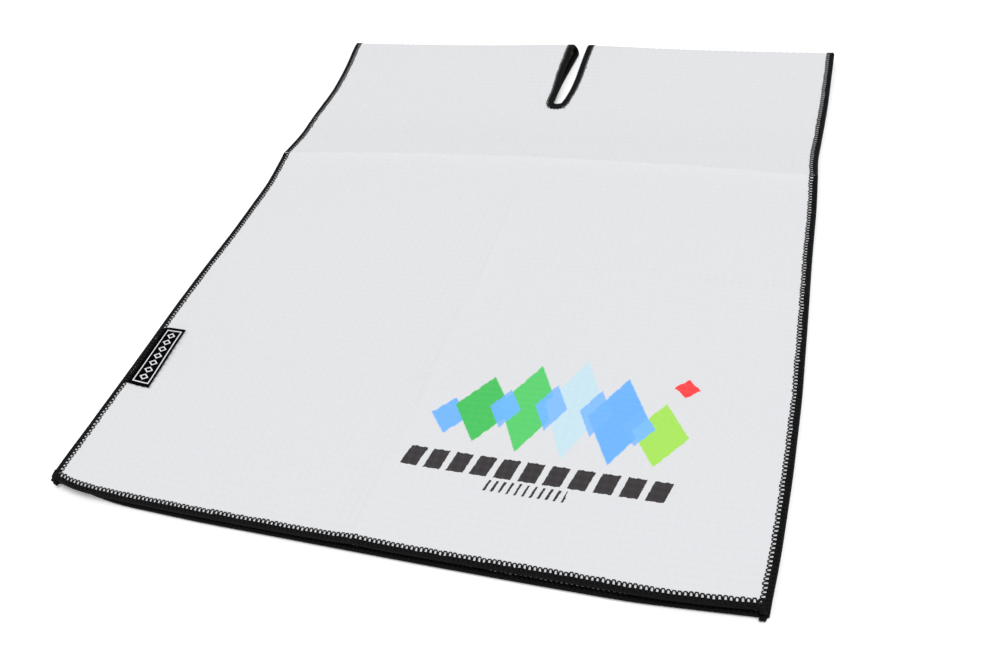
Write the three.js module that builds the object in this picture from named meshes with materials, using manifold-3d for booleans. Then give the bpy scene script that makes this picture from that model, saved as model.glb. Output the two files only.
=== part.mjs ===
// Golf towel of waffle-weave microfibre, folded in half, with an overlocked edge and a centre hanging slit.
// Millimetres. X across the towel, Y from its free edges to the fold, +Z up; it lies on Z = 0.
import * as THREE from 'three';
import { mergeVertices } from 'three/addons/utils/BufferGeometryUtils.js';
import Module from 'manifold-3d';

const wasm = await Module();
wasm.setup();

// The cut cloth, its edging included.
const cloth = { width: 400, length: 1000, thick: 2.4, rim: 1.2 };
// Overlock stitching: a channel of thread over the squeezed rim of the cloth, solid outside the cut edge.
const overlock = { width: 6.5, thick: 2.8, wall: 0.5, outside: 1.2 };
// The half fold: a bend of this outer radius. The upper leaf stops short of the lower one.
const fold = { radius: 4.4, setback: 2.5 };
// The slit is cut across the fold, the same in both leaves. reach is from the fold to the end of its stitching.
const slit = { clear: 7, reach: 87 };
// The packing crease across the upper leaf, and how softly it and the rises at the two ends run out.
const crease = { fromFold: 160, run: 45 };
const lie = { foldRun: 70, lipRun: 40, lipLift: 0.9, clearance: 0.5 };
// A woven label folded double, sewn into the left edge of the upper leaf.
const label = { along: 50, fromFreeEdge: 79, out: 12.2, layer: 0.4, hollow: 0.3, seamFrom: 3.1 };
// Thread tails left at the corners.
const tail = { radius: 1.1, length: 3 };
// Space left between pieces that touch.
const gap = 0.3;
const step = 8;

const half = cloth.width / 2;
const midRadius = fold.radius - overlock.thick / 2;
const lowerFlat = (cloth.length - Math.PI * midRadius + fold.setback) / 2;
const tailReach = (gap + tail.radius + tail.length) * Math.SQRT1_2 + tail.radius;
const foldY = (lowerFlat + tailReach - fold.radius) / 2;
const frontY = foldY - lowerFlat;
const creaseY = foldY + fold.radius - crease.fromFold;
const slitEndY = foldY + fold.radius - slit.reach;
const bandRadius = slit.clear / 2 + overlock.width;
const topBottom = 2 * fold.radius - overlock.thick;

// Heights inside the edging: cloth lies flush with the outside of each leaf, its rim in the middle.
const lowerLayer = { low: 0, high: cloth.thick };
const upperLayer = { low: overlock.thick - cloth.thick, high: overlock.thick };
const rimLayer = { low: (overlock.thick - cloth.rim) / 2, high: (overlock.thick + cloth.rim) / 2 };
const edgeLayer = { low: 0, high: overlock.thick };
const channel = { low: overlock.wall, high: overlock.thick - overlock.wall };

const smooth = (t) => {
  const x = Math.min(Math.max(t, 0), 1);
  return x * x * (3 - 2 * x);
};
const flat = () => 0;
// Height of the upper leaf's underside: low over the lower leaf, up at its free edge, the crease and the fold.
const draped = (y) => {
  const low = overlock.thick + lie.clearance;
  const lip = lie.lipLift * smooth(1 - (y - frontY - fold.setback) / lie.lipRun);
  const ridge = (topBottom - low) * smooth(1 - Math.abs(y - creaseY) / crease.run);
  const rise = (topBottom - low) * smooth(1 - (foldY - y) / lie.foldRun);
  return low + lip + Math.max(ridge, rise);
};

const alongX = new THREE.Matrix4().makeBasis(
  new THREE.Vector3(0, 1, 0), new THREE.Vector3(0, 0, 1), new THREE.Vector3(1, 0, 0));
const alongY = new THREE.Matrix4().makeBasis(
  new THREE.Vector3(1, 0, 0), new THREE.Vector3(0, 0, 1), new THREE.Vector3(0, -1, 0));

function solid(geometry) {
  const bare = geometry.index ? geometry.toNonIndexed() : geometry;
  bare.deleteAttribute('normal');
  bare.deleteAttribute('uv');
  const merged = mergeVertices(bare, 1e-4);
  return new wasm.Manifold(new wasm.Mesh({
    numProp: 3,
    vertProperties: new Float32Array(merged.attributes.position.array),
    triVerts: new Uint32Array(merged.index.array),
  }));
}

// A flat or draped strip: its side outline along Y, extruded across X.
function strip(leaf, layer, { left, right, from, to }) {
  const steps = leaf === flat ? 1 : Math.max(1, Math.ceil((to - from) / step));
  const ys = Array.from({ length: steps + 1 }, (_, i) => from + ((to - from) * i) / steps);
  const under = ys.map((y) => new THREE.Vector2(y, leaf(y) + layer.low));
  const over = ys.map((y) => new THREE.Vector2(y, leaf(y) + layer.high)).reverse();
  const geometry = new THREE.ExtrudeGeometry(new THREE.Shape([...under, ...over]),
    { depth: right - left, bevelEnabled: false });
  return solid(geometry.applyMatrix4(alongX).translate(left, 0, 0));
}

// The same strip where it goes round the fold: half a ring, its outside at the fold's radius.
function bend(layer, left, right) {
  const outer = fold.radius - layer.low;
  const inner = fold.radius - layer.high;
  const shape = new THREE.Shape();
  shape.absarc(0, 0, outer, -Math.PI / 2, Math.PI / 2, false);
  shape.absarc(0, 0, inner, Math.PI / 2, -Math.PI / 2, true);
  const geometry = new THREE.ExtrudeGeometry(shape,
    { depth: right - left, bevelEnabled: false, curveSegments: 10 });
  return solid(geometry.applyMatrix4(alongX).translate(left, foldY, fold.radius));
}

// An upright prism with the slit's outline, this far out from its middle line, open past the fold.
function slitPrism(radius) {
  const centre = slitEndY + bandRadius;
  const past = foldY + 2 * fold.radius;
  const shape = new THREE.Shape();
  shape.moveTo(radius, past);
  shape.lineTo(-radius, past);
  shape.lineTo(-radius, centre);
  shape.absarc(0, centre, radius, Math.PI, 2 * Math.PI, false);
  const geometry = new THREE.ExtrudeGeometry(shape,
    { depth: 6 * fold.radius, bevelEnabled: false, curveSegments: 16 });
  return solid(geometry.translate(0, 0, -2 * fold.radius));
}

const slitCut = {
  cloth: slitPrism(bandRadius + gap),
  rim: slitPrism(slit.clear / 2 + overlock.outside + gap),
  band: slitPrism(bandRadius),
  hollow: slitPrism(slit.clear / 2),
  channel: slitPrism(slit.clear / 2 + overlock.outside),
};

// Cloth of one leaf or panel: full thickness inside the edging, its rim reaching into the stitches.
function clothPanel(leaf, layer, from, to, hasFreeEdge) {
  const insetX = half - overlock.width - gap;
  const rimX = half - overlock.outside - gap;
  const bodyFrom = hasFreeEdge ? from + overlock.width + gap : from;
  const rimFrom = hasFreeEdge ? from + overlock.outside + gap : from;
  const body = strip(leaf, layer, { left: -insetX, right: insetX, from: bodyFrom, to });
  const rim = strip(leaf, rimLayer, { left: -rimX, right: rimX, from: rimFrom, to });
  return body.subtract(slitCut.cloth).add(rim.subtract(slitCut.rim));
}

// Stitching down one long side: side is -1 on the left and 1 on the right.
function sideOverlock(leaf, side, from, to) {
  const span = (inner, outer) => ({
    left: Math.min(side * inner, side * outer), right: Math.max(side * inner, side * outer), from, to });
  const band = strip(leaf, edgeLayer, span(half - overlock.width, half));
  const open = span(half - overlock.width - gap, half - overlock.outside);
  return band.subtract(strip(leaf, channel, open));
}

function freeEdgeOverlock(leaf, from) {
  const inner = half - overlock.width - gap;
  const band = strip(leaf, edgeLayer, { left: -inner, right: inner, from, to: from + overlock.width });
  const open = { left: -half, right: half, from: from + overlock.outside, to: from + overlock.width + gap };
  return band.subtract(strip(leaf, channel, open));
}

function slitOverlock(leaf) {
  const span = { left: -2 * bandRadius, right: 2 * bandRadius, from: slitEndY - gap, to: foldY - gap };
  const ring = slitCut.band.subtract(slitCut.hollow);
  const band = strip(leaf, edgeLayer, span).intersect(ring);
  return band.subtract(strip(leaf, channel, span).subtract(slitCut.channel));
}

// The bend in the cloth between the slit and one side, and the two stitched edges that go round with it.
function bentCloth(side) {
  const mirrored = (inner, outer) => [Math.min(side * inner, side * outer), Math.max(side * inner, side * outer)];
  const body = bend(lowerLayer, ...mirrored(bandRadius + gap, half - overlock.width - gap));
  const rim = bend(rimLayer, ...mirrored(slit.clear / 2 + overlock.outside + gap, half - overlock.outside - gap));
  return body.add(rim);
}

function bentOverlock(side, outside, inside) {
  const towards = Math.sign(inside - outside);
  const cover = [side * outside, side * inside].sort((a, b) => a - b);
  const open = [side * (outside + towards * overlock.outside), side * (inside + towards * gap)].sort((a, b) => a - b);
  return bend(edgeLayer, ...cover).subtract(bend(channel, ...open));
}

// The label: a strip folded back on itself, its fold inwards, lying on the cloth beside the edging.
const labelBottom = draped(frontY + fold.setback + label.fromFreeEdge) + overlock.thick + gap;
const labelThick = 2 * label.layer + label.hollow;
const labelLeft = -half + overlock.width + gap;
const labelFrom = frontY + fold.setback + label.fromFreeEdge;

function wovenLabel() {
  const outer = labelThick / 2;
  const inner = label.hollow / 2;
  const turn = label.out - outer;
  const shape = new THREE.Shape();
  shape.moveTo(0, -outer);
  shape.lineTo(turn, -outer);
  shape.absarc(turn, 0, outer, -Math.PI / 2, Math.PI / 2, false);
  shape.lineTo(0, outer);
  shape.lineTo(0, inner);
  shape.lineTo(turn, inner);
  shape.absarc(turn, 0, inner, Math.PI / 2, -Math.PI / 2, true);
  shape.lineTo(0, -inner);
  const geometry = new THREE.ExtrudeGeometry(shape,
    { depth: label.along, bevelEnabled: false, curveSegments: 6 });
  return solid(geometry.applyMatrix4(alongY).translate(labelLeft, labelFrom + label.along, labelBottom + outer));
}

const labelPocket = { left: -half + label.seamFrom - gap, right: labelLeft, from: labelFrom - gap,
  to: labelFrom + label.along + gap };
const labelEnds = { left: -half + label.seamFrom, right: labelLeft - gap, from: labelFrom,
  to: labelFrom + label.along };

// A short thread tail that sticks out of a corner at 45 degrees.
function cornerTail(leaf, side, y) {
  const geometry = new THREE.CapsuleGeometry(tail.radius, tail.length, 4, 10);
  const out = gap + tail.radius + tail.length / 2;
  const reach = out * Math.SQRT1_2;
  geometry.rotateZ(side * -3 * Math.PI / 4);
  return solid(geometry.translate(side * (half + reach), y - reach, leaf(y) + overlock.thick / 2));
}

const look = {
  cloth: { color: 0xe3e5ea, roughness: 0.95, metalness: 0 },
  thread: { color: 0x121316, roughness: 0.7, metalness: 0 },
  label: { color: 0x17181c, roughness: 0.8, metalness: 0 },
};

const towel = new THREE.Group();
const bodies = {};
for (const name of ['lower_leaf', 'upper_back', 'upper_front', 'label']) {
  bodies[name] = new THREE.Group();
  towel.add(bodies[name]);
}

function add(body, name, piece, finish) {
  const mesh = piece.getMesh();
  const geometry = new THREE.BufferGeometry();
  geometry.setAttribute('position', new THREE.BufferAttribute(new Float32Array(mesh.vertProperties), 3));
  geometry.setIndex(new THREE.BufferAttribute(new Uint32Array(mesh.triVerts), 1));
  geometry.computeVertexNormals();
  const part = new THREE.Mesh(geometry, new THREE.MeshStandardMaterial(finish));
  part.name = name;
  bodies[body].add(part);
}

const sides = { left: -1, right: 1 };
const upperFrontY = frontY + fold.setback;
const backPanel = [creaseY + gap, foldY - gap];
const frontPanel = [upperFrontY, creaseY - gap];

add('lower_leaf', 'lower_cloth', clothPanel(flat, lowerLayer, frontY, foldY - gap, true), look.cloth);
add('lower_leaf', 'lower_front_overlock', freeEdgeOverlock(flat, frontY), look.thread);
add('lower_leaf', 'lower_slit_overlock', slitOverlock(flat), look.thread);
add('upper_back', 'upper_back_cloth', clothPanel(draped, upperLayer, ...backPanel, false), look.cloth);
add('upper_back', 'upper_slit_overlock', slitOverlock(draped), look.thread);
add('upper_front', 'upper_front_cloth', clothPanel(draped, upperLayer, ...frontPanel, true), look.cloth);
add('upper_front', 'upper_front_overlock', freeEdgeOverlock(draped, upperFrontY), look.thread);

for (const [hand, side] of Object.entries(sides)) {
  const frontSide = sideOverlock(draped, side, ...frontPanel);
  const frontEdge = side < 0 ? frontSide.subtract(strip(draped, { low: channel.high - gap, high: 2 * overlock.thick },
    labelPocket)) : frontSide;
  add('lower_leaf', `lower_${hand}_overlock`, sideOverlock(flat, side, frontY, foldY - gap), look.thread);
  add('lower_leaf', `lower_${hand}_tail`, cornerTail(flat, side, frontY), look.thread);
  add('lower_leaf', `fold_${hand}_cloth`, bentCloth(side), look.cloth);
  add('lower_leaf', `fold_${hand}_overlock`, bentOverlock(side, half, half - overlock.width), look.thread);
  add('lower_leaf', `fold_${hand}_slit_overlock`, bentOverlock(side, slit.clear / 2, bandRadius), look.thread);
  add('upper_back', `upper_back_${hand}_overlock`, sideOverlock(draped, side, ...backPanel), look.thread);
  add('upper_front', `upper_front_${hand}_overlock`, frontEdge, look.thread);
  add('upper_front', `upper_${hand}_tail`, cornerTail(draped, side, upperFrontY), look.thread);
}

add('upper_front', 'label_seam_end', strip(draped, { low: channel.high, high: overlock.thick }, labelEnds), look.label);
add('label', 'woven_label', wovenLabel(), look.label);

export default towel;
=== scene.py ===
import math

import bmesh
import bpy
import numpy as np
from mathutils import Matrix, Vector


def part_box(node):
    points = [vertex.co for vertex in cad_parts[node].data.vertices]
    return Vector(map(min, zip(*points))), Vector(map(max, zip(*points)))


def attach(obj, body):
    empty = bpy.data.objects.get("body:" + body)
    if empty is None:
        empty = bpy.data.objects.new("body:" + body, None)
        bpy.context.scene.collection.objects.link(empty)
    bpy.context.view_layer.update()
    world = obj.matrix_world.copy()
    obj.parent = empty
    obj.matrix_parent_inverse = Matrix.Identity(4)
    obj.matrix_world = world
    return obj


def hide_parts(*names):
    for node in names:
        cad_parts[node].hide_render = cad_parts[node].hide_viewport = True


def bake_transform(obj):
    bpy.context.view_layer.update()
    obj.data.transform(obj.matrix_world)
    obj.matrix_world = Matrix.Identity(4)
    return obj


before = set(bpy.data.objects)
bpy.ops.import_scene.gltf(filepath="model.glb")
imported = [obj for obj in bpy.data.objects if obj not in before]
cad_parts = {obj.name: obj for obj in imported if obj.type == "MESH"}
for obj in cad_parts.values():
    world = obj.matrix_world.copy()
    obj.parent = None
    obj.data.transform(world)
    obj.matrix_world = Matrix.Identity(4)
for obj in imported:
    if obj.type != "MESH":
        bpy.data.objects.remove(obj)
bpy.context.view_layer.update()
mm = 0.001
print("frame loaded:", len(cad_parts), "nodes")


# Everything on the towel is first laid out flat: x across it, s along its whole length from the lower
# free edge through the fold to the upper free edge, and h above its middle surface, out of the fold.

def readPlaces():
    nose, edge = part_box("fold_left_cloth"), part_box("lower_front_overlock")
    edgeHalf = (edge[1].z - edge[0].z) / 2
    places = dict(
        half=-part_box("lower_left_overlock")[0].x,
        frontY=edge[0].y,
        foldY=nose[0].y,
        foldZ=(nose[0].z + nose[1].z) / 2,
        bendRadius=(nose[1].z - nose[0].z) / 2 - edgeHalf,
        upperFrontY=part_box("upper_front_overlock")[0].y,
        creaseY=(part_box("upper_back_cloth")[0].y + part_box("upper_front_cloth")[1].y) / 2,
        slitEndY=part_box("upper_slit_overlock")[0].y,
        edgeHalf=edgeHalf,
        edgeWidth=edge[1].y - edge[0].y,
        clothHalf=(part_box("lower_cloth")[1].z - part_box("lower_cloth")[0].z) / 2,
    )
    places["lowEnd"] = places["foldY"] - places["frontY"]
    places["bendEnd"] = places["lowEnd"] + math.pi * places["bendRadius"]
    places["total"] = places["bendEnd"] + places["foldY"] - places["upperFrontY"]
    return places


place = readPlaces()

lieSizes = dict(
    clearance=0.3 * mm,       # of the upper leaf over the lower one
    foldRun=70 * mm,          # how far the rise at the fold runs out
    foldSwell=0.7 * mm,       # the fold is plumper than its two layers
    foldBow=2.2 * mm,         # and stands out a little, more beside the slit
    slitBow=3 * mm,
    creaseRun=42 * mm,        # the ridge at the packing crease
    creaseRise=2.3 * mm,
    creaseSharp=4 * mm,       # its crisp middle
    creasePeak=1.4 * mm,
    creaseTurn=(1.6 * mm, 4.5 * mm, -8.5 * mm),     # the crease isn't quite square to the edges
    longAt=1.2 * mm,          # a fainter crease down the towel's length
    longTurn=0.04,
    longSharp=9 * mm,
    longPeak=1.3 * mm,
    longRun=80 * mm,          # it rises over this run, from the crosswise one on
    lipLift=1.5 * mm,         # the upper free edge lifts off the lower one, most at lipAt
    lipAt=100 * mm,
    lipRun=30 * mm,
    endRun=170 * mm,          # how far the free edges' curves reach into the leaf
    sideRun=190 * mm,         # and the side edges'
    cornerLift=1.9 * mm,      # the left free corner curls off the floor
    cornerRun=(60 * mm, 50 * mm),
    slitRise=0.9 * mm,        # the fold stands up beside the slit
    slitRiseRun=70 * mm,
    ripple=0.5 * mm,          # slow waves in the upper leaf
    rippleAcross=(47 * mm, 120 * mm),
    rippleAlong=(190 * mm, 61 * mm, 34 * mm),
    wrinkle=0.6 * mm,         # one short wrinkle across its right half
    wrinkleAt=(100 * mm, -20 * mm),
    wrinkleTurn=0.05,
    wrinkleSharp=8 * mm,
    wrinkleFrom=30 * mm,
    wrinkleRun=60 * mm,
)

# How far the cut edges have drawn from the straight, in millimetres: place along the edge, then offset.
edgeCurves = dict(
    left=((-250, -2.6), (-238, -3.4), (-205, -3.8), (-150, -2.3), (-95, -1.5), (-55, 0.2), (-15, 2.8),
          (45, 4.0), (85, 2.8), (108, 4.2), (135, 3.6), (175, 5.4), (215, 3.4), (248, -0.8)),
    right=((-250, 0.0), (-215, 2.4), (-165, 4.0), (-110, 4.5), (-50, 3.3), (10, 1.8), (60, 1.2), (90, -0.2),
           (115, -1.5), (150, 0), (185, 1.2), (248, 1.7)),
    upperEnd=((-203, 1.2), (-195, -2.4), (-180, -5.6), (-120, -6.4), (-50, -6.4), (30, -5.4), (105, -3.8),
              (150, -3.2), (178, -0.8), (203, 2.4)),
    lowerEnd=((-203, 2.4), (-185, 0.4), (-155, -3.8), (-100, -4.9), (-50, -4.6), (30, -4.1), (90, -3.3),
              (137, -2.3), (165, 0), (192, 2.4), (203, 3.4)),
)


def smooth(t):
    t = np.clip(t, 0, 1)
    return t * t * (3 - 2 * t)


def bump(t):
    return smooth(1 - np.abs(t))


def edgeOffset(name, where):
    # a curve through its places, with the corners between them rounded off over 10 mm to each side
    places, offsets = np.array(edgeCurves[name]).T * mm
    spread = np.linspace(-10, 10, 6) * mm
    return sum(np.interp(where + d, places, offsets) for d in spread) / len(spread)


def pullEdges(x, y, end):
    # moves flat points so that the sides and the free end follow their curves
    half, sizes = place["half"], lieSizes
    toLeft, toRight = smooth(1 - (half + x) / sizes["sideRun"]), smooth(1 - (half - x) / sizes["sideRun"])
    toEnd = smooth(1 - (y - place["frontY"]) / sizes["endRun"])
    sideways = edgeOffset("left", y) * toLeft + edgeOffset("right", y) * toRight
    return x + sideways, y + edgeOffset(end, x) * toEnd


def cornerCurl(x, y):
    across, along = lieSizes["cornerRun"]
    near = smooth(1 - (place["half"] + x) / across) * smooth(1 - (y - place["frontY"]) / along)
    return lieSizes["cornerLift"] * near


def fromCreases(x, y):
    # distance behind the crosswise crease and to the right of the lengthwise one
    sizes, half = lieSizes, place["half"]
    a, b, c = sizes["creaseTurn"]
    behind = y - (place["creaseY"] + a + b * x / half + c * (x / half) ** 2)
    return behind, x - sizes["longAt"] - sizes["longTurn"] * y


def rippleHeight(x, y):
    # slow waves that cross each other
    firstX, secondX = lieSizes["rippleAcross"]
    firstY, crossY, secondY = lieSizes["rippleAlong"]
    wave = np.sin(x / firstX + 1.1 + y / firstY) * np.cos(y / crossY + 0.6)
    wave += 0.6 * np.sin(y / secondY - x / secondX)
    return lieSizes["ripple"] * (0.7 + 0.5 * wave)


def wrinkleHeight(x, y):
    sizes = lieSizes
    atX, atY = sizes["wrinkleAt"]
    off = y - atY + sizes["wrinkleTurn"] * (x - atX)
    near = smooth((x - sizes["wrinkleFrom"]) / sizes["wrinkleRun"])
    return sizes["wrinkle"] * bump(off / sizes["wrinkleSharp"]) * near


def upperHeight(x, y):
    # height of the upper leaf's middle surface, above the lower leaf and the floor
    sizes = lieSizes
    low = place["edgeHalf"] * 3 + sizes["clearance"]
    top = place["foldZ"] + place["bendRadius"]
    off, aside = fromCreases(x, y)
    ridge = sizes["creaseRise"] * bump(off / sizes["creaseRun"])
    ridge += sizes["creasePeak"] * np.exp(-np.abs(off) / sizes["creaseSharp"])
    rise = (top + sizes["foldSwell"] - low) * smooth(1 - (place["foldY"] - y) / sizes["foldRun"])
    lip = sizes["lipLift"] * smooth(1 - (y - place["upperFrontY"]) / sizes["lipRun"])
    lip = lip * bump((x - sizes["lipAt"]) / place["half"])
    ripple = rippleHeight(x, y) * smooth((place["foldY"] - y) / sizes["foldRun"])
    long = sizes["longPeak"] * np.exp(-np.abs(aside) / sizes["longSharp"])
    long = long * smooth((place["creaseY"] - y) / sizes["longRun"])
    return low + np.maximum(ridge, rise) + lip + ripple + long + wrinkleHeight(x, y) + cornerCurl(x, y)


def drape(x, s, h):
    # a point laid out flat, on the folded towel: an array of places, one row each
    radius, sizes = place["bendRadius"], lieSizes
    bySlit = np.exp(-(x / sizes["slitRiseRun"]) ** 2)
    rise = sizes["slitRise"] * bySlit + sizes["foldSwell"]
    bow = sizes["foldBow"] + sizes["slitBow"] * bySlit

    y = place["frontY"] + s
    lowX, lowY = pullEdges(x, y, "lowerEnd")
    lowY = lowY + bow * smooth(1 - (place["foldY"] - y) / sizes["foldRun"])
    lower = np.stack([lowX, lowY, place["edgeHalf"] - h + cornerCurl(x, y)], 1)

    turn = np.clip((s - place["lowEnd"]) / radius, 0, math.pi)
    bendX, _ = pullEdges(x, np.full(len(x), place["foldY"]), "lowerEnd")
    bendZ = place["foldZ"] - (radius + h) * np.cos(turn) + rise * (1 - np.cos(turn)) / 2
    bend = np.stack([bendX, place["foldY"] + bow + (radius + h) * np.sin(turn), bendZ], 1)

    back = s - place["bendEnd"]
    y = place["foldY"] - back
    upX, upY = pullEdges(x, y, "upperEnd")
    upY = upY + bow * smooth(1 - back / sizes["foldRun"])
    z = upperHeight(x, y) + h + (rise - sizes["foldSwell"]) * smooth(1 - back / sizes["slitRiseRun"])
    upper = np.stack([upX, upY, z], 1)

    onBend = ((s > place["lowEnd"]) & (s < place["bendEnd"]))[:, None]
    onUpper = (s >= place["bendEnd"])[:, None]
    return np.where(onUpper, upper, np.where(onBend, bend, lower))


slitSizes = dict(             # one straight cut across the fold, pulled open
    further=4 * mm,           # pulled open, the cut's end reaches further from the fold
    endWidth=4.2 * mm,        # half the opening just inside the round end
    endRun=5 * mm,
    width=6.3 * mm,           # and at its widest
    widenTo=0.55,             # share of the cut over which it widens
    spread=55 * mm,           # how far into the cloth the opening pushes it
    drift=(1.9 * mm, 3.3 * mm),       # to the right, at the cut's end and nearer the fold
    driftTo=0.35,
    driftRun=60 * mm,         # beyond the cut's end it dies out over this run
    lowerDrift=(-2.4 * mm, 3.4 * mm),   # and as much more on the lower leaf
    lowerDriftFrom=0.15,
    gather=2.7 * mm,          # how much wider the thread lies round the end
    gatherRun=9 * mm,
    gatherTurn=1.5,           # the higher, the more it keeps to the end's middle
    steps=60,                 # points along one side of the stitches' path, and round a quarter of its end
    endSteps=8,
)
cutEndY = place["slitEndY"] + place["edgeWidth"] - slitSizes["further"]


def alongSlit(s):
    # distance from the cut's end towards the fold, and the share of the way from the upper leaf to the lower
    back = np.abs(s - (place["lowEnd"] + place["bendEnd"]) / 2) - (place["bendEnd"] - place["lowEnd"]) / 2
    lower = smooth((place["bendEnd"] - s) / (place["bendEnd"] - place["lowEnd"]))
    return place["foldY"] - cutEndY - np.maximum(back, 0), lower


def slitOpening(along):
    sizes = slitSizes
    t = np.clip(along / (place["foldY"] - cutEndY), 0, 1)
    lens = sizes["endWidth"] + (sizes["width"] - sizes["endWidth"]) * smooth(t / sizes["widenTo"])
    roundEnd = np.sqrt(np.maximum(1 - (1 - np.clip(along / sizes["endRun"], 0, 1)) ** 2, 0))
    return lens * roundEnd


def slitDrift(along, lower):
    sizes = slitSizes
    atEnd, atFold = sizes["drift"]
    moreAtEnd, moreAtFold = sizes["lowerDrift"]
    t = np.clip(along / (place["foldY"] - cutEndY), 0, 1)
    drift = atEnd + (atFold - atEnd) * smooth(t / sizes["driftTo"])
    share = np.clip((t - sizes["lowerDriftFrom"]) / (1 - sizes["lowerDriftFrom"]), 0, 1)
    more = moreAtEnd + (moreAtFold - moreAtEnd) * share
    return (drift + more * lower) * smooth(along / sizes["driftRun"] + 1)


def openSlit(x, s):
    # moves flat points aside where the slit stands open
    along, lower = alongSlit(s)
    near = smooth(1 - np.abs(x) / slitSizes["spread"])
    side = np.where(x < 0, -1.0, 1.0)
    return x + near * (side * slitOpening(along) + slitDrift(along, lower))


clothSizes = dict(
    across=82,                # waffle cells across the towel
    leafCells=105,            # along each leaf
    backCells=38,             # of those, up to the end of its piece next to the fold
    bendCells=2,              # round the fold
    bendSteps=24,             # points of a stitched edge there
    cut=3,                    # mesh faces along one side of a cell
    well=0.95 * mm,           # depth of a cell's well
    wellRound=0.8,            # the lower, the broader the well and the thinner the ridge
    edgeHalf=0.8 * mm,        # half thickness where the stitches squeeze the cloth
    edgeRun=(3.5 * mm, 7 * mm),         # squeezed up to the first, and full from the second on
    inset=0.6 * mm,           # the cut edge lies inside the wound thread
)
place["cell"] = place["lowEnd"] / clothSizes["leafCells"]      # one waffle cell along the cloth

creaseShadingSizes = dict(              # painted light and shade along the creases: above 0 lighter, below 0 darker
    crossFront=2.4,           # in front of the crosswise crease, and behind it
    crossBehind=-0.9,
    crossRun=8 * mm,
    shadeAt=0.7,              # and a broad band of painted shade behind it
    shadeRun=45 * mm,
    longRight=0.3,            # to the right of the lengthwise crease, and to its left
    longLeft=-0.5,
    longRun=10 * mm,
    longFrom=60 * mm,         # it grows over this run, from the crosswise one on
)


def cellsAlong(s):
    # how many cells lie between the lower free edge and s
    bendLength = place["bendEnd"] - place["lowEnd"]
    bend = np.clip((s - place["lowEnd"]) / bendLength, 0, 1) * clothSizes["bendCells"]
    leaves = np.minimum(s, place["lowEnd"]) + np.maximum(s - place["bendEnd"], 0)
    return leaves / place["cell"] + bend


def edgeDistance(x, s):
    # distance from the nearest cut edge, the slit's included
    outer = np.minimum(place["half"] - np.abs(x), np.minimum(s, place["total"] - s))
    along, _ = alongSlit(s)
    slit = np.where(along > 0, np.abs(x), np.hypot(x, along))
    return np.minimum(outer, slit)


def waffle(x, s, face):
    # how deep the well is, from 0 on a ridge to 1; the two faces are half a cell apart
    shift = np.where(face > 0, 0.0, 0.5)
    u = x / (2 * place["half"] / clothSizes["across"]) + shift
    v = cellsAlong(s) + shift
    return np.abs(np.sin(math.pi * u) * np.sin(math.pi * v)) ** clothSizes["wellRound"]


def paintedCreaseShading(x, s):
    # painted light and shade along the creases, on the upper leaf only
    sizes = creaseShadingSizes
    behind, aside = fromCreases(x, place["foldY"] - (s - place["bendEnd"]))
    cross = np.where(behind < 0, sizes["crossFront"], sizes["crossBehind"])
    cross = cross * np.exp(-np.abs(behind) / sizes["crossRun"])
    shade = bump(behind / sizes["shadeRun"] - sizes["shadeAt"])
    long = np.where(aside > 0, sizes["longRight"], sizes["longLeft"])
    long = long * np.exp(-np.abs(aside) / sizes["longRun"]) * smooth(-behind / sizes["longFrom"])
    return (cross - shade + long) * (s > place["bendEnd"])


def finishMesh(mesh, places):
    # drape() mirrors what was laid out flat, so the faces are turned back
    mesh.vertices.foreach_set("co", places.astype(np.float32).ravel())
    mesh.polygons.foreach_set("use_smooth", [True] * len(mesh.polygons))
    mesh.flip_normals()
    mesh.update()
    mesh.set_sharp_from_angle(angle=math.radians(65))


def flatPoints(mesh):
    found = np.empty(len(mesh.vertices) * 3, np.float32)
    mesh.vertices.foreach_get("co", found)
    return found.reshape(-1, 3).astype(float)


def addObject(name, mesh, material):
    obj = bpy.data.objects.new(name, mesh)
    bpy.context.scene.collection.objects.link(obj)
    mesh.materials.append(material)
    return obj


def setUv(mesh, flat, name):
    # the flat place, in metres
    corners = np.empty(len(mesh.loops), np.int32)
    mesh.loops.foreach_get("vertex_index", corners)
    layer = mesh.uv_layers.new(name=name)
    layer.data.foreach_set("uv", flat[corners, :2].astype(np.float32).ravel())


def setPointValue(mesh, name, values):
    attribute = mesh.attributes.new(name, "FLOAT", "POINT")
    attribute.data.foreach_set("value", values.astype(np.float32))


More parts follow.
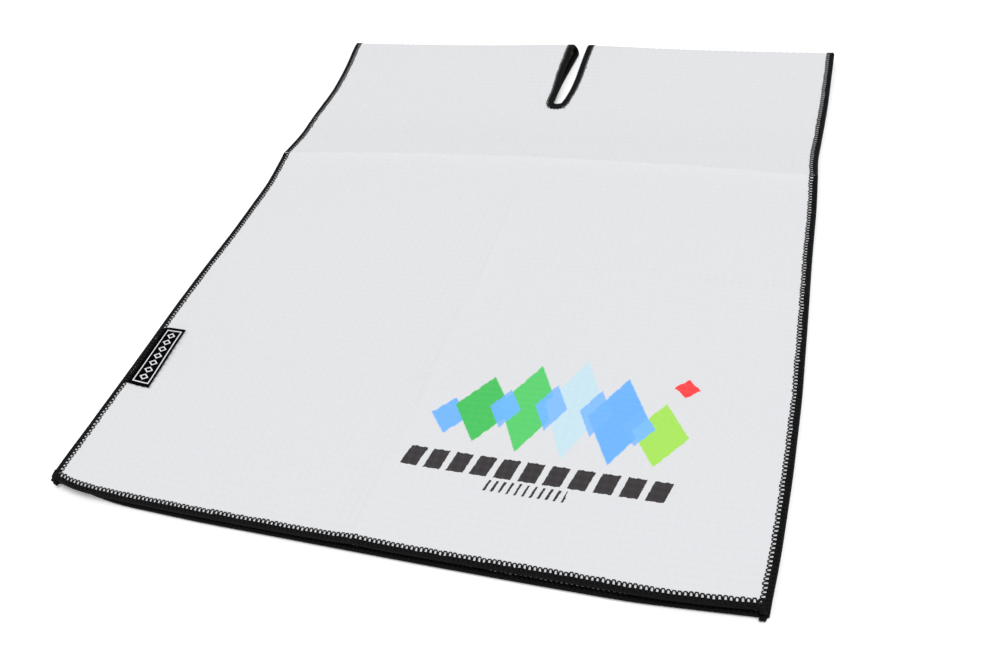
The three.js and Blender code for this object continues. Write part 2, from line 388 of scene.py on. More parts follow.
def clothPiece(name, left, right, start, end, cells, material):
    # a flat grid of waffle cells, cut where the slit is, given its thickness and then draped
    sizes, slitLength = clothSizes, place["foldY"] - cutEndY
    columns = round((right - left) / (2 * place["half"]) * sizes["across"]) * sizes["cut"]
    rows = cells * sizes["cut"]
    bm = bmesh.new()
    bmesh.ops.create_grid(bm, x_segments=columns, y_segments=rows, size=0.5)
    bmesh.ops.scale(bm, vec=(right - left, end - start, 1), verts=bm.verts)
    bmesh.ops.translate(bm, vec=((left + right) / 2, (start + end) / 2, 0), verts=bm.verts)
    middle = 0.1 * mm
    slitFrom, slitTo = place["lowEnd"] - slitLength, place["bendEnd"] + slitLength
    inCut = [e for e in bm.edges if all(abs(v.co.x) < middle for v in e.verts)
             and slitFrom < (e.verts[0].co.y + e.verts[1].co.y) / 2 < slitTo]
    if left < 0 < right:
        bmesh.ops.split_edges(bm, edges=inCut)
    for v in bm.verts:        # each side of the cut keeps to its own side of the middle
        if abs(v.co.x) < middle and v.is_boundary:
            side = sum(f.calc_center_median().x for f in v.link_faces)
            v.co.x = math.copysign(1e-6, side)
    bmesh.ops.solidify(bm, geom=bm.faces[:], thickness=1 * mm)
    bmesh.ops.recalc_face_normals(bm, faces=bm.faces)
    mesh = bpy.data.meshes.new(name)
    bm.to_mesh(mesh)
    bm.free()

    flat = flatPoints(mesh)
    x, s = flat[:, 0], flat[:, 1]
    lift = flat[:, 2] - flat[:, 2].mean()
    face = np.where(lift > 0, 1.0, -1.0)
    squeezed, full = sizes["edgeRun"]
    field = smooth((edgeDistance(x, s) - squeezed) / (full - squeezed))
    well = waffle(x, s, face)
    thick = sizes["edgeHalf"] + (place["clothHalf"] - sizes["well"] * well - sizes["edgeHalf"]) * field
    insetX = np.clip(x, -place["half"] + sizes["inset"], place["half"] - sizes["inset"])
    insetS = np.clip(s, sizes["inset"], place["total"] - sizes["inset"])
    finishMesh(mesh, drape(openSlit(insetX, insetS), insetS, face * thick))
    setUv(mesh, flat, "cloth")
    # the well depth, which also drives the painted shade in the wells
    setPointValue(mesh, "well", well * field)
    setPointValue(mesh, "outerFace", (face > 0).astype(float))
    # painted light and shade along the creases, carried to the cloth's material
    setPointValue(mesh, "paintedCreaseShading", paintedCreaseShading(x, s))
    return addObject(name, mesh, material)


stitchSizes = dict(
    pitch=2.6 * mm,
    closePitch=0.8,           # of that, round the slit
    ropeAt=1.15 * mm,         # the middle of the wound thread round the cut edge, in from that edge
    ropeReach=(2.0 * mm, 0.92 * mm),   # half its width and half its height
    closeRopeAt=1.75 * mm,    # round the slit the thread is wound wider
    closeRopeReach=(2.7 * mm, 0.95 * mm),
    ropeShoulder=(1.04, 1.24),      # it's squarer than an oval
    ropeSides=8,
    thread=0.43 * mm,
    threadSides=3,
    foot=(0.2 * mm, 1.2 * mm),      # in from the wound thread's outer side: where a loop starts, and is up
    loopHalf=0.95 * mm,       # a loop comes up round the edge, reaches in over the cloth and goes back
    loopTo=4.75 * mm,
    over=0.98 * mm,           # height of the loops over the squeezed cloth
    lean=0.6 * mm,
    uneven=0.035,             # in the loops' length, in their lean, and in the thread's lie
    leanUneven=0.07 * mm,
    hair=0.03 * mm,
    swell=0.6,                # how much higher a stitch stands where it reaches further
)


def sweepThread(bm, points, radius, sides):
    # a thread: a small ring carried along its points by extrusion, closed at both ends
    points = [Vector(p) for p in points]
    ways = [(points[min(i + 1, len(points) - 1)] - points[max(i - 1, 0)]).normalized()
            for i in range(len(points))]
    turn = Vector((0, 0, 1)).rotation_difference(ways[0])
    here = Matrix.Translation(points[0]) @ turn.to_matrix().to_4x4()
    ring = bmesh.ops.create_circle(bm, segments=sides, radius=radius, matrix=here)["verts"]
    made = list(ring)
    edges = list({e for v in ring for e in v.link_edges})
    for i in range(1, len(points)):
        step = ways[i - 1].rotation_difference(ways[i])
        following = Matrix.Translation(points[i]) @ (step @ turn).to_matrix().to_4x4()
        grown = bmesh.ops.extrude_edge_only(bm, edges=edges)["geom"]
        ring = [g for g in grown if isinstance(g, bmesh.types.BMVert)]
        edges = [g for g in grown if isinstance(g, bmesh.types.BMEdge)]
        bmesh.ops.transform(bm, matrix=following @ here.inverted(), verts=ring)
        here, turn = following, step @ turn
        made += ring
    rim = [e for v in made for e in v.link_edges if e.is_boundary]
    bmesh.ops.holes_fill(bm, edges=list(set(rim)), sides=sides)


def stitchMesh(ropeAt, ropeReach):
    # one stitch, laid flat: X along the edge, Y in from it, Z up
    sizes = stitchSizes
    bm = bmesh.new()
    over, side, inner = sizes["over"], sizes["loopHalf"], sizes["loopTo"]
    wide, high = ropeReach
    start, knee = [ropeAt - wide + y for y in sizes["foot"]]
    up = [(-side, start, 0), (-side, knee, over * 1.03),
          (-side * 0.98, inner - side * 0.95, over * 1.03), (-side * 0.5, inner - side * 0.1, over * 0.95)]
    down = [(-x, y, z) for x, y, z in reversed(up)]
    sweepThread(bm, up + down, sizes["thread"], sizes["threadSides"])
    bmesh.ops.mirror(bm, geom=bm.verts[:] + bm.edges[:] + bm.faces[:], merge_dist=0, axis="Z")

    # the thread wound round the cut edge, under the loops
    ring = bmesh.ops.create_circle(bm, segments=sizes["ropeSides"], radius=1)["verts"]
    edges = list({e for v in ring for e in v.link_edges})
    bmesh.ops.rotate(bm, matrix=Matrix.Rotation(math.pi / 2, 3, "Y"), verts=ring)
    bmesh.ops.scale(bm, vec=(1, wide, high), verts=ring)
    shoulders = [v for v in ring if 0.1 * high < abs(v.co.z) < 0.9 * high]
    bmesh.ops.scale(bm, vec=(1, *sizes["ropeShoulder"]), verts=shoulders)
    bmesh.ops.translate(bm, vec=(-sizes["pitch"] / 2, ropeAt, 0), verts=ring)
    grown = bmesh.ops.extrude_edge_only(bm, edges=edges)["geom"]
    farRing = [g for g in grown if isinstance(g, bmesh.types.BMVert)]
    bmesh.ops.translate(bm, vec=(sizes["pitch"], 0, 0), verts=farRing)
    mesh = bpy.data.meshes.new("stitch")
    bm.to_mesh(mesh)
    bm.free()
    return mesh


openStitch = stitchMesh(stitchSizes["ropeAt"], stitchSizes["ropeReach"])
closeStitch = stitchMesh(stitchSizes["closeRopeAt"], stitchSizes["closeRopeReach"])
print("faces of one stitch:", len(openStitch.polygons))


def stitchRun(name, path, material, reach=None):
    # a row of stitches along a flat path of (x, s) points, the cloth on its left; reach lengthens them
    sizes, pitch = stitchSizes, stitchSizes["pitch"]
    stitch, spacing = (closeStitch, sizes["closePitch"]) if "Slit" in name else (openStitch, 1.0)
    path = np.array(path, float)
    steps = np.hypot(*np.diff(path, axis=0).T)
    if reach is not None:
        steps = steps * (reach[1:] + reach[:-1] - 1)      # more stitches where they fan out
    along = np.concatenate([[0], np.cumsum(steps)])
    count = max(2, round(along[-1] / (pitch * spacing)))
    source = bpy.data.objects.new(name + "Source", stitch)
    bpy.context.scene.collection.objects.link(source)
    array = source.modifiers.new("row", "ARRAY")
    array.count = count
    array.use_relative_offset = False
    array.use_constant_offset = True
    array.constant_offset_displace = (pitch, 0, 0)
    array.use_merge_vertices = True
    array.merge_threshold = 0.01 * mm
    bpy.context.view_layer.update()
    mesh = bpy.data.meshes.new_from_object(source.evaluated_get(bpy.context.evaluated_depsgraph_get()))
    bpy.data.objects.remove(source)
    mesh.name = name
    bm = bmesh.new()
    bm.from_mesh(mesh)
    bmesh.ops.holes_fill(bm, edges=[e for e in bm.edges if e.is_boundary], sides=sizes["ropeSides"])
    bmesh.ops.recalc_face_normals(bm, faces=bm.faces)
    bm.to_mesh(mesh)
    bm.free()

    flat = flatPoints(mesh)
    t = (flat[:, 0] / pitch + 0.5) * along[-1] / count
    x = np.interp(t, along, path[:, 0])
    s = np.interp(t, along, path[:, 1])
    wayX = np.interp(t, along, np.gradient(path[:, 0], along))
    wayS = np.interp(t, along, np.gradient(path[:, 1], along))
    size = np.hypot(wayX, wayS)
    wayX, wayS = wayX / size, wayS / size
    over = np.where(t < 0, t, np.where(t > along[-1], t - along[-1], 0))

    # no two stitches are pulled quite alike
    chance = np.random.default_rng(len(name) + count)
    each = np.clip(np.round(flat[:, 0] / pitch).astype(int), 0, count - 1)
    longer = 1 if reach is None else np.interp(t, along, reach)
    outside, inward = np.minimum(flat[:, 1], 0), np.maximum(flat[:, 1], 0)
    share = inward / sizes["loopTo"]
    inward = inward * longer * (1 + chance.normal(0, sizes["uneven"], count)[each]) + outside
    over = over + share * (sizes["lean"] + chance.normal(0, sizes["leanUneven"], count)[each])
    x = x + over * wayX - inward * wayS
    s = s + over * wayS + inward * wayX
    hair = chance.normal(0, sizes["hair"], len(flat))
    swell = 1 + sizes["swell"] * (longer - 1)
    finishMesh(mesh, drape(x, s, flat[:, 2] * swell + hair))
    setUv(mesh, flat, "run")
    return addObject(name, mesh, material)


def slitPath(leaf):
    # down one side of the slit on one leaf, round its end and up the other, and the stitches' reach there
    sizes, length = slitSizes, place["foldY"] - cutEndY
    turn = np.linspace(0, math.pi / 2, sizes["endSteps"] + 1)[1:]
    straight = np.linspace(length - place["cell"], sizes["endRun"], sizes["steps"])
    along = np.concatenate([straight, sizes["endRun"] * (1 - np.sin(turn))])
    lower = 1.0 if leaf == "lower" else 0.0
    width, drift = slitOpening(along), slitDrift(along, lower)
    gather = sizes["gather"] * smooth(1 - along / sizes["gatherRun"])
    along = along + gather
    if leaf == "lower":
        s = place["lowEnd"] - length + along
    else:
        s = place["bendEnd"] + length - along
    left = np.stack([drift - width, s], 1)
    right = np.stack([drift + width, s], 1)
    path = np.concatenate([left, right[::-1][1:]])
    longer = gather * np.concatenate([np.zeros(len(straight)), np.sin(turn) ** sizes["gatherTurn"]])
    reach = 1 + np.concatenate([longer, longer[::-1][1:]]) / stitchSizes["loopTo"]
    return (path[::-1], reach[::-1]) if leaf == "lower" else (path, reach)


def bendPath(side, slit):
    # one stitched edge where it goes round the fold, with one cell's length of each leaf
    cell = place["cell"]
    s = np.linspace(place["lowEnd"] - cell, place["bendEnd"] + cell, clothSizes["bendSteps"])
    along, lower = alongSlit(s)
    slitX = slitDrift(along, lower) + side * slitOpening(along)
    x = slitX if slit else np.full(len(s), side * place["half"])
    path = np.stack([x, s], 1)
    return path if (side > 0) != slit else path[::-1]


tailSizes = dict(             # the trimmed chain of thread left at a corner
    insets=dict(left=2.4 * mm, right=2.3 * mm),
    leans=dict(left=-0.25, right=0.12),         # they trail on along the side edges
    start=-1.6 * mm,          # inside the free edge
    length=3.6 * mm,
    wind=7,                   # radians over its length
    steps=8,
    swirl=1.1 * mm,           # between a strand and the middle, less towards the tip
    taper=0.2,
    strand=1.0 * mm,
    sides=7,
    flatten=0.68,
)


def threadTail(name, x, s, way, material):
    # two short strands round each other
    sizes = tailSizes
    bm = bmesh.new()
    for strand in range(2):
        points = []
        for t in np.linspace(0, 1, sizes["steps"]):
            wind = strand * math.pi + t * sizes["wind"]
            reach = sizes["start"] + t * sizes["length"]
            swirl = sizes["swirl"] * (1 - sizes["taper"] * t)
            points.append((way[0] * reach - way[1] * swirl * math.cos(wind),
                           way[1] * reach + way[0] * swirl * math.cos(wind), swirl * math.sin(wind)))
        sweepThread(bm, points, sizes["strand"], sizes["sides"])
    bmesh.ops.recalc_face_normals(bm, faces=bm.faces)
    mesh = bpy.data.meshes.new(name)
    bm.to_mesh(mesh)
    bm.free()
    flat = flatPoints(mesh)
    setUv(mesh, flat[:, [1, 0]], "run")
    finishMesh(mesh, drape(x + flat[:, 0], s + flat[:, 1], flat[:, 2] * sizes["flatten"]))
    return addObject(name, mesh, material)


def addNode(tree, kind, values=(), **settings):
    node = tree.nodes.new(kind)
    for name, value in settings.items():
        setattr(node, name, value)
    for name, value in dict(values).items():
        socket = node.inputs[name]
        if isinstance(value, bpy.types.NodeSocket):
            tree.links.new(value, socket)
        else:
            socket.default_value = value
    return node


def calc(tree, operation, a, b=0.0, clamp=False):
    return addNode(tree, "ShaderNodeMath", {0: a, 1: b}, operation=operation, use_clamp=clamp).outputs[0]


def noise(tree, vector, scale, detail=2.0):
    values = {"Vector": vector, "Scale": scale, "Detail": detail}
    return addNode(tree, "ShaderNodeTexNoise", values).outputs["Fac"]


def attributeValue(tree, name):
    return addNode(tree, "ShaderNodeAttribute", attribute_name=name).outputs["Fac"]


def blendColour(tree, share, under, over):
    # a colour is a socket, or its red, green and blue
    under, over = [(*c, 1) if isinstance(c, tuple) else c for c in (under, over)]
    return addNode(tree, "ShaderNodeMix", {0: share, 6: under, 7: over}, data_type="RGBA").outputs[2]


def distance(tree, value, middle):
    return calc(tree, "ABSOLUTE", calc(tree, "SUBTRACT", value, middle))


def addRelief(tree, shader, height, strength, depth):
    relief = addNode(tree, "ShaderNodeBump", {"Height": height, "Strength": strength, "Distance": depth})
    tree.links.new(relief.outputs[0], shader.inputs["Normal"])


def startMaterial(name, **values):
    material = bpy.data.materials.new(name)
    material.use_nodes = True
    shader = material.node_tree.nodes["Principled BSDF"]
    for socket, value in values.items():
        shader.inputs[socket.replace("_", " ")].default_value = value
    return material, material.node_tree, shader


waffleLook = dict(
    # painted shade: the wells are coloured darker than the ridges
    ridge=(0.70, 0.704, 0.718),
    well=(0.654, 0.661, 0.681),
    patch=(0.62, 0.63, 0.67),           # slow patches in the whiteness
    patchScale=9.0,
    patchShare=0.12,
    yarn=(0.55, 0.56, 0.59),
    yarnScale=1500.0,
    yarnShare=0.10,
    paintedCreaseLightTint=(0.76, 0.765, 0.78),          # painted light and painted shade along the creases, half of each where there is neither
    paintedCreaseShadeTint=(0.62, 0.625, 0.64),
    paintedCreaseShare=0.08,
    yarnRelief=0.7,
    patchRelief=0.3,
    relief=0.35,
    depth=0.25 * mm,
)

printSizes = dict(            # in millimetres across from the left edge and up from the free one
    # lozenges of the argyle row: middle, half width and half height
    row=((216, 92, 11, 13), (234, 100, 17, 24), (259, 105, 17, 32), (284, 109, 17, 36), (309, 104, 17, 31),
         (332, 98, 15, 22)),
    colours=((0.14, 0.42, 0.98), (0.035, 0.49, 0.08), (0.07, 0.57, 0.12), (0.52, 0.70, 0.78),
             (0.12, 0.40, 0.97), (0.35, 0.71, 0.075)),
    stripe=((246, 102, 9, 14), (271, 107, 9, 17), (296, 107, 9, 17), (320, 101, 9, 13)),
    stripeColour=(0.14, 0.42, 0.98),
    stripeShare=0.85,
    accent=(341, 133, 7, 7),
    accentColour=(0.93, 0.025, 0.03),
    ink=(0.008, 0.003, 0.006),
    bars=dict(left=199, right=345, low=54.5, high=67.5, pitch=13.3, share=0.72, lean=0.22),
    strokes=dict(left=249, right=293, low=45.5, high=53, pitch=4.2, share=0.32, lean=0.25),
    crisp=24.0,               # how sharply a lozenge ends
    fuzz=1.2,                 # how far its edge wanders with the yarn
    worn=(0.01, 0.02),        # white left in the wells and between the fibres
)


def lozenge(tree, across, up, shape):
    # 1 inside a lozenge, with an edge as soft as dye on cloth
    x, y, halfWide, halfHigh = shape
    dx = calc(tree, "DIVIDE", distance(tree, across, x), halfWide)
    dy = calc(tree, "DIVIDE", distance(tree, up, y), halfHigh)
    inside = calc(tree, "SUBTRACT", 1.0, calc(tree, "ADD", dx, dy))
    return calc(tree, "ADD", calc(tree, "MULTIPLY", inside, printSizes["crisp"]), 0.5, clamp=True)


def barRow(tree, across, up, row):
    # 1 on a row of leaning bars
    leaned = calc(tree, "SUBTRACT", across, calc(tree, "MULTIPLY", up, row["lean"]))
    start = row["left"] - row["low"] * row["lean"]
    step = calc(tree, "FRACT", calc(tree, "DIVIDE", calc(tree, "SUBTRACT", leaned, start), row["pitch"]))
    mask = calc(tree, "LESS_THAN", step, row["share"])
    for value, low, high in ((across, row["left"], row["right"]), (up, row["low"], row["high"])):
        mask = calc(tree, "MULTIPLY", mask, calc(tree, "GREATER_THAN", value, low))
        mask = calc(tree, "MULTIPLY", mask, calc(tree, "LESS_THAN", value, high))
    return mask


def printLayers(tree, across, up):
    # the dye print: pairs of a mask and a colour
    sizes = printSizes
    layers = [(lozenge(tree, across, up, shape), tint) for shape, tint in zip(sizes["row"], sizes["colours"])]
    for shape in sizes["stripe"]:
        mask = calc(tree, "MULTIPLY", lozenge(tree, across, up, shape), sizes["stripeShare"])
        layers.append((mask, sizes["stripeColour"]))
    layers.append((lozenge(tree, across, up, sizes["accent"]), sizes["accentColour"]))
    layers += [(barRow(tree, across, up, sizes[name]), sizes["ink"]) for name in ("bars", "strokes")]
    return layers


def waffleMaterial():
    material, tree, shader = startMaterial("whiteWaffle", Roughness=0.92, Sheen_Weight=0.35,
                                           Sheen_Roughness=0.6, Specular_IOR_Level=0.25)
    look = waffleLook
    uv = addNode(tree, "ShaderNodeUVMap", uv_map="cloth").outputs[0]
    well, outer, creaseShadingValue = [attributeValue(tree, name) for name in ("well", "outerFace", "paintedCreaseShading")]
    patch = noise(tree, uv, look["patchScale"], 3.0)
    yarn = noise(tree, uv, look["yarnScale"])
    # painted shade in the wells, deeper wells darker
    colour = blendColour(tree, well, look["ridge"], look["well"])
    colour = blendColour(tree, calc(tree, "MULTIPLY", patch, look["patchShare"]), colour, look["patch"])
    colour = blendColour(tree, calc(tree, "MULTIPLY", yarn, look["yarnShare"]), colour, look["yarn"])
    # painted light and shade along the creases, mixed into the cloth's colour
    for share, tint in ((look["paintedCreaseShare"], look["paintedCreaseLightTint"]), (-look["paintedCreaseShare"], look["paintedCreaseShadeTint"])):
        turned = calc(tree, "ADD", calc(tree, "MULTIPLY", creaseShadingValue, share), 0.5, clamp=True)
        colour = blendColour(tree, turned, colour, tint)

    parts = addNode(tree, "ShaderNodeSeparateXYZ", {0: uv})
    fuzz = calc(tree, "MULTIPLY", calc(tree, "SUBTRACT", yarn, 0.5), printSizes["fuzz"])
    across = calc(tree, "ADD", calc(tree, "MULTIPLY", parts.outputs[0], 1 / mm), place["half"] / mm)
    up = calc(tree, "SUBTRACT", place["total"] / mm, calc(tree, "MULTIPLY", parts.outputs[1], 1 / mm))
    inWell, inYarn = printSizes["worn"]
    worn = calc(tree, "ADD", calc(tree, "MULTIPLY", well, inWell), calc(tree, "MULTIPLY", yarn, inYarn))
    hold = calc(tree, "SUBTRACT", 1.0, worn)
    for mask, tint in printLayers(tree, calc(tree, "ADD", across, fuzz), calc(tree, "ADD", up, fuzz)):
        share = calc(tree, "MULTIPLY", calc(tree, "MULTIPLY", mask, hold), outer)
        colour = blendColour(tree, share, colour, tint)
    tree.links.new(colour, shader.inputs["Base Color"])

    height = calc(tree, "ADD", calc(tree, "MULTIPLY", yarn, look["yarnRelief"]),
                  calc(tree, "MULTIPLY", patch, look["patchRelief"]))
    addRelief(tree, shader, height, look["relief"], look["depth"])
    return material


threadLook = dict(
    # the ply's crests and fibres are coloured lighter: the thread's own tone and partly a painted highlight
    dark=(0.0002, 0.0002, 0.0003),
    light=(0.014, 0.014, 0.0155),
    plyScale=380.0,
    plyTurn=20,               # degrees
    plyWander=1.2,
    fibreScale=2600.0,
    fibreRelief=0.4,
    relief=1.0,
    depth=0.3 * mm,
)


def threadMaterial():
    material, tree, shader = startMaterial("blackThread", Roughness=0.5, Specular_IOR_Level=0.12)
    look = threadLook
    spot = addNode(tree, "ShaderNodeTexCoord").outputs["Object"]
    uv = addNode(tree, "ShaderNodeUVMap", uv_map="run").outputs[0]
    turn = (0, 0, math.radians(look["plyTurn"]))
    turned = addNode(tree, "ShaderNodeMapping", {"Vector": uv, "Rotation": turn}).outputs[0]
    ply = addNode(tree, "ShaderNodeTexWave", {"Vector": turned, "Scale": look["plyScale"], "Detail": 1.0,
                                              "Distortion": look["plyWander"]}).outputs["Fac"]
    fibre = noise(tree, spot, look["fibreScale"], 3.0)
    # partly painted highlight on the ply's crests and fibres
    colour = blendColour(tree, calc(tree, "MULTIPLY", fibre, ply), look["dark"], look["light"])
    tree.links.new(colour, shader.inputs["Base Color"])
    height = calc(tree, "ADD", ply, calc(tree, "MULTIPLY", fibre, look["fibreRelief"]))
    addRelief(tree, shader, height, look["relief"], look["depth"])
    return material


labelSizes = dict(
    # the ribbon's middle line, in millimetres in from the cloth's left edge and up from its middle surface:
    # out, round its fold and back
    line=((2.6, 0.8), (4.6, 0.85), (6.0, 1.3), (8, 1.5), (12, 1.5), (18.6, 1.5), (20.0, 1.56), (20.4, 1.8),
          (20.0, 2.05), (18.6, 2.15), (12, 2.15), (8, 2.05), (6.0, 1.7), (4.6, 1.15), (2.6, 1.1)),
    ribbon=0.3 * mm,
    skew=1.6 * mm,            # it's sewn in a little askew, further in at its near end
    skewFrom=5 * mm,
    skewRun=14 * mm,
    wave=0.25 * mm,           # its fold isn't quite level
    waveTurn=5,
    waveRun=19 * mm,
    columns=56,
    rows=40,
    frame=dict(left=8.0, right=18.4, inset=2.6, line=0.8),        # woven in white, in millimetres
    lozenges=dict(count=7, halfWide=3.3, steep=2.2, middle=0.74, half=0.19, inset=0.8, ends=1.5),
    black=((0.0006, 0.0006, 0.0009), (0.004, 0.004, 0.005)),
    white=((0.62, 0.62, 0.63), (0.82, 0.82, 0.83)),
    weaveScale=900.0,
    weaveWander=0.4,
    fibreScale=1400.0,
    frameRelief=0.6,
    relief=0.5,
    depth=0.1 * mm,
)


def labelMaterial(length):
    # length in millimetres
    material, tree, shader = startMaterial("blackRibbon", Roughness=0.7, Specular_IOR_Level=0.0)
    uv = addNode(tree, "ShaderNodeUVMap", uv_map="ribbon").outputs[0]
    parts = addNode(tree, "ShaderNodeSeparateXYZ", {0: uv})
    across = calc(tree, "MULTIPLY", parts.outputs[0], 1 / mm)
    up = calc(tree, "MULTIPLY", parts.outputs[1], 1 / mm)

    box = labelSizes["frame"]
    middle, halfWide = (box["left"] + box["right"]) / 2, (box["right"] - box["left"]) / 2
    halfLong = length / 2 - box["inset"]
    aside = calc(tree, "SUBTRACT", distance(tree, across, middle), halfWide)
    beyond = calc(tree, "SUBTRACT", distance(tree, up, length / 2), halfLong)
    outside = calc(tree, "MAXIMUM", aside, beyond)
    frameMask = calc(tree, "LESS_THAN", calc(tree, "ABSOLUTE", outside), box["line"] / 2)

    row = labelSizes["lozenges"]
    pitch = 2 * (halfLong - row["ends"]) / row["count"]
    start = length / 2 - pitch * row["count"] / 2
    step = calc(tree, "FRACT", calc(tree, "DIVIDE", calc(tree, "SUBTRACT", up, start), pitch))
    lx = calc(tree, "DIVIDE", distance(tree, across, middle), row["halfWide"])
    ly = calc(tree, "MULTIPLY", distance(tree, step, 0.5), row["steep"])
    ring = distance(tree, calc(tree, "ADD", lx, ly), row["middle"])
    inside = calc(tree, "LESS_THAN", outside, -row["inset"])
    lozengeMask = calc(tree, "MULTIPLY", calc(tree, "LESS_THAN", ring, row["half"]), inside)
    mask = calc(tree, "MAXIMUM", frameMask, lozengeMask)

    values = {"Vector": uv, "Scale": labelSizes["weaveScale"], "Distortion": labelSizes["weaveWander"]}
    weave = addNode(tree, "ShaderNodeTexWave", values, bands_direction="Y").outputs["Fac"]
    ground = blendColour(tree, weave, *labelSizes["black"])
    woven = blendColour(tree, noise(tree, uv, labelSizes["fibreScale"]), *labelSizes["white"])
    tree.links.new(blendColour(tree, mask, ground, woven), shader.inputs["Base Color"])
    height = calc(tree, "ADD", weave, calc(tree, "MULTIPLY", mask, labelSizes["frameRelief"]))
    addRelief(tree, shader, height, labelSizes["relief"], labelSizes["depth"])
    return material


def wovenLabel(name):
    # a flat ribbon carried along its line, given its thickness and draped with the cloth
    sizes = labelSizes
    low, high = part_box("woven_label")
    length = high.y - low.y
    startS = place["bendEnd"] + place["foldY"] - high.y
    line = np.array(sizes["line"]) * mm
    steps = np.concatenate([[0], np.cumsum(np.hypot(*np.diff(line, axis=0).T))])
    bm = bmesh.new()
    bmesh.ops.create_grid(bm, x_segments=sizes["columns"], y_segments=sizes["rows"], size=0.5)
    bmesh.ops.translate(bm, vec=(0.5, 0.5, 0), verts=bm.verts)
    bmesh.ops.scale(bm, vec=(1, length, 1), verts=bm.verts)
    for v in bm.verts:
        t = v.co.x * steps[-1]
        v.co.x, v.co.z = np.interp(t, steps, line[:, 0]), np.interp(t, steps, line[:, 1])
    bmesh.ops.smooth_vert(bm, verts=[v for v in bm.verts if not v.is_boundary], factor=0.5,
                          use_axis_x=True, use_axis_z=True)
    bmesh.ops.recalc_face_normals(bm, faces=bm.faces)
    bmesh.ops.solidify(bm, geom=bm.faces[:], thickness=sizes["ribbon"])
    bmesh.ops.recalc_face_normals(bm, faces=bm.faces)
    mesh = bpy.data.meshes.new(name)
    bm.to_mesh(mesh)
    bm.free()

    flat = flatPoints(mesh)
    along = flat[:, 1] / length
    lift = sizes["wave"] * np.sin(along * sizes["waveTurn"]) * smooth(flat[:, 0] / sizes["waveRun"])
    askew = sizes["skew"] * along * smooth((flat[:, 0] - sizes["skewFrom"]) / sizes["skewRun"])
    finishMesh(mesh, drape(flat[:, 0] + askew - place["half"], startS + flat[:, 1], flat[:, 2] + lift))
    setUv(mesh, flat, "ribbon")
    return addObject(name, mesh, labelMaterial(length / mm))


stageSizes = dict(            # camera, floor and light
    cameraAt=(0.1943, -0.5125, 0.4439),
    cameraTurn=(45.475, 8.738, 18.107),
    lens=36.892,
    shift=(0.0649, 0.0141),
    floor=6.0,
    floorColours=((0.95, 0.95, 0.955), (0.97, 0.97, 0.97)),
    floorGrain=3.0,
    floorGlow=0.15,           # keeps the shadows pale
    world=0.64,
    # place, width, power and colour
    key=((0.7, -0.7, 2.9), 1.6, 44, (0.97, 0.985, 1)),
    fill=((-1.4, 1.0, 2.5), 1.8, 15, (1, 0.985, 0.97)),
)


def addCamera():
    data = bpy.data.cameras.new("camera")
    data.lens = stageSizes["lens"]
    data.shift_x, data.shift_y = stageSizes["shift"]
    data.clip_start, data.clip_end = 0.01, 50
    camera = bpy.data.objects.new("camera", data)
    camera.location = stageSizes["cameraAt"]
    camera.rotation_euler = [math.radians(a) for a in stageSizes["cameraTurn"]]
    bpy.context.scene.collection.objects.link(camera)
    bpy.context.scene.camera = camera


def addFloor():
    material, tree, shader = startMaterial("paleFloor", Roughness=0.8, Specular_IOR_Level=0.0,
                                           Emission_Color=(1, 1, 1, 1),
                                           Emission_Strength=stageSizes["floorGlow"])
    spot = addNode(tree, "ShaderNodeTexCoord").outputs["Object"]
    tint = blendColour(tree, noise(tree, spot, stageSizes["floorGrain"]), *stageSizes["floorColours"])
    tree.links.new(tint, shader.inputs["Base Color"])
    bm = bmesh.new()
    bmesh.ops.create_grid(bm, x_segments=4, y_segments=4, size=stageSizes["floor"] / 2)
    mesh = bpy.data.meshes.new("floor")
    bm.to_mesh(mesh)
    bm.free()
    addObject("floor", mesh, material)


def addLight(name, at, size, power, colour):
    data = bpy.data.lights.new(name, "AREA")
    data.shape, data.size, data.energy, data.color = "DISK", size, power, colour
    light = bpy.data.objects.new(name, data)
    light.location = at
    light.rotation_euler = (-Vector(at)).to_track_quat("-Z", "Y").to_euler()
    bpy.context.scene.collection.objects.link(light)


def addStage():
    addCamera()
    addFloor()
    world = bpy.data.worlds.new("studio")
    world.use_nodes = True
    background = world.node_tree.nodes["Background"]
    background.inputs[0].default_value = (1, 1, 1, 1)
    background.inputs[1].default_value = stageSizes["world"]
    bpy.context.scene.world = world
    bpy.context.scene.view_settings.view_transform = "Standard"
    for name in ("key", "fill"):
        addLight(name, *stageSizes[name])


addStage()
white, black = waffleMaterial(), threadMaterial()
print("stage and materials ready")

half, total, cell = place["half"], place["total"], place["cell"]
lowEnd, bendEnd = place["lowEnd"] - cell, place["bendEnd"] + cell
nearCells = clothSizes["backCells"] - 1
farCells = round(place["lowEnd"] / cell) - clothSizes["backCells"]
lowSplit, backEnd = lowEnd - nearCells * cell, bendEnd + nearCells * cell

lowerFront = clothPiece("lowerFrontCloth", -half, half, 0, lowSplit, farCells, white)
lowerBack = clothPiece("lowerBackCloth", -half, half, lowSplit, lowEnd, nearCells, white)
bendLeft = clothPiece("foldLeftCloth", -half, 0, lowEnd, bendEnd, clothSizes["bendCells"] + 2, white)
bendRight = clothPiece("foldRightCloth", 0, half, lowEnd, bendEnd, clothSizes["bendCells"] + 2, white)
backCloth = clothPiece("upperBackCloth", -half, half, bendEnd, backEnd, nearCells, white)
frontCloth = clothPiece("upperFrontCloth", -half, half, backEnd, total, farCells, white)
cloths = (lowerFront, lowerBack, bendLeft, bendRight, backCloth, frontCloth)
print("cloth draped:", sum(len(cloth.data.polygons) for cloth in cloths), "faces")

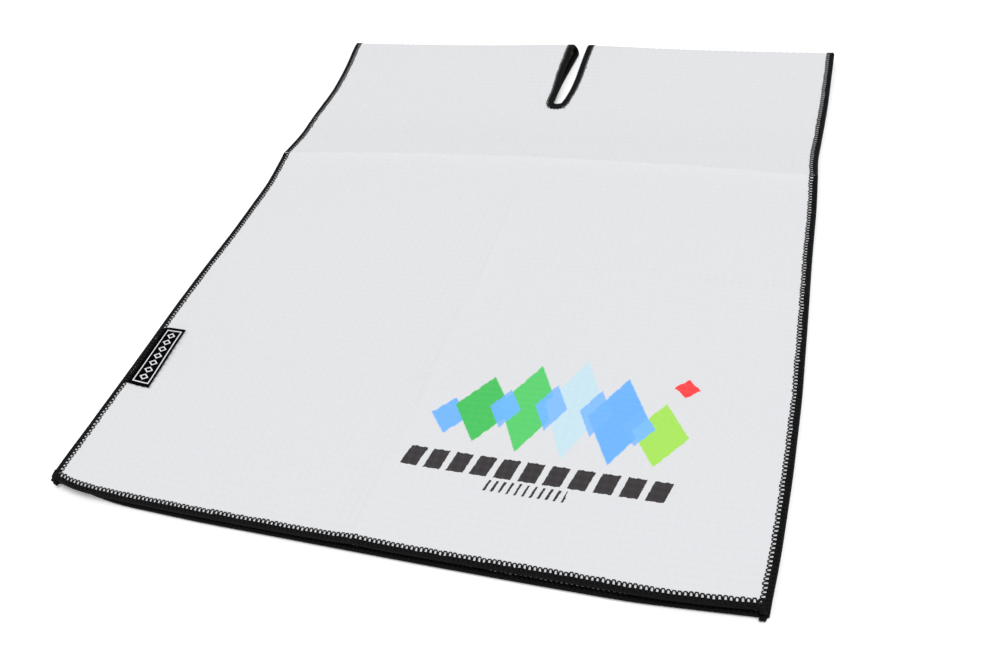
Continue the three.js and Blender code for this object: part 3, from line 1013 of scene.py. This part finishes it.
runs = {
    "lowerLeftStitches": ([(-half, lowEnd), (-half, 0)], "lower_left_overlock"),
    "lowerRightStitches": ([(half, 0), (half, lowEnd)], "lower_right_overlock"),
    "lowerFrontStitches": ([(-half, 0), (half, 0)], "lower_front_overlock"),
    "lowerSlitStitches": (slitPath("lower"), "lower_slit_overlock"),
    "foldLeftStitches": (bendPath(-1, False), "fold_left_overlock"),
    "foldRightStitches": (bendPath(1, False), "fold_right_overlock"),
    "foldSlitLeftStitches": (bendPath(-1, True), "fold_left_slit_overlock"),
    "foldSlitRightStitches": (bendPath(1, True), "fold_right_slit_overlock"),
    "upperLeftStitches": ([(-half, total), (-half, bendEnd)], "upper_back_left_overlock",
                          "upper_front_left_overlock"),
    "upperRightStitches": ([(half, bendEnd), (half, total)], "upper_back_right_overlock",
                           "upper_front_right_overlock"),
    "upperFrontStitches": ([(half, total), (-half, total)], "upper_front_overlock"),
    "upperSlitStitches": (slitPath("upper"), "upper_slit_overlock"),
}
stitches = {}
for name, (path, *nodes) in runs.items():
    path, reach = path if isinstance(path, tuple) else (path, None)
    stitches[name] = stitchRun(name, path, black, reach)
    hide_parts(*nodes)
bpy.data.meshes.remove(openStitch)
bpy.data.meshes.remove(closeStitch)

tails = {}
for hand, sideX in (("left", -half), ("right", half)):
    x = sideX - math.copysign(tailSizes["insets"][hand], sideX)
    lean = tailSizes["leans"][hand]
    out = math.sqrt(1 - lean ** 2)
    tails["lower_" + hand] = threadTail("lower" + hand.capitalize() + "Tail", x, 0, (lean, -out), black)
    tails["upper_" + hand] = threadTail("upper" + hand.capitalize() + "Tail", x, total, (lean, out), black)
    for leaf in ("lower_", "upper_"):
        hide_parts(leaf + hand + "_tail")
label = wovenLabel("wovenLabel")
print("stitches, tails and label made")

# a piece that moves with one body is attached to it; a blend, which spans two, keeps its draped places
for piece in (lowerFront, lowerBack, tails["lower_left"], tails["lower_right"]):
    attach(piece, "lower_leaf")
for piece in (tails["upper_left"], tails["upper_right"]):
    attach(piece, "upper_front")
for name, piece in stitches.items():
    if name.startswith("lower"):
        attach(piece, "lower_leaf")
    elif name.startswith("fold"):
        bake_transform(piece)
    elif name == "upperSlitStitches":
        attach(piece, "upper_back")
    elif name == "upperFrontStitches":
        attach(piece, "upper_front")
    else:
        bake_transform(piece)
for piece in (bendLeft, bendRight):
    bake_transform(piece)
for piece in (backCloth, frontCloth):
    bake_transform(piece)
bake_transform(label)

for piece, node in ((lowerFront, "lower_cloth"), (lowerBack, "lower_cloth"), (bendLeft, "fold_left_cloth"),
                    (bendRight, "fold_right_cloth"), (backCloth, "upper_back_cloth"),
                    (frontCloth, "upper_front_cloth")):
    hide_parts(node)
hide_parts("woven_label", "label_seam_end")
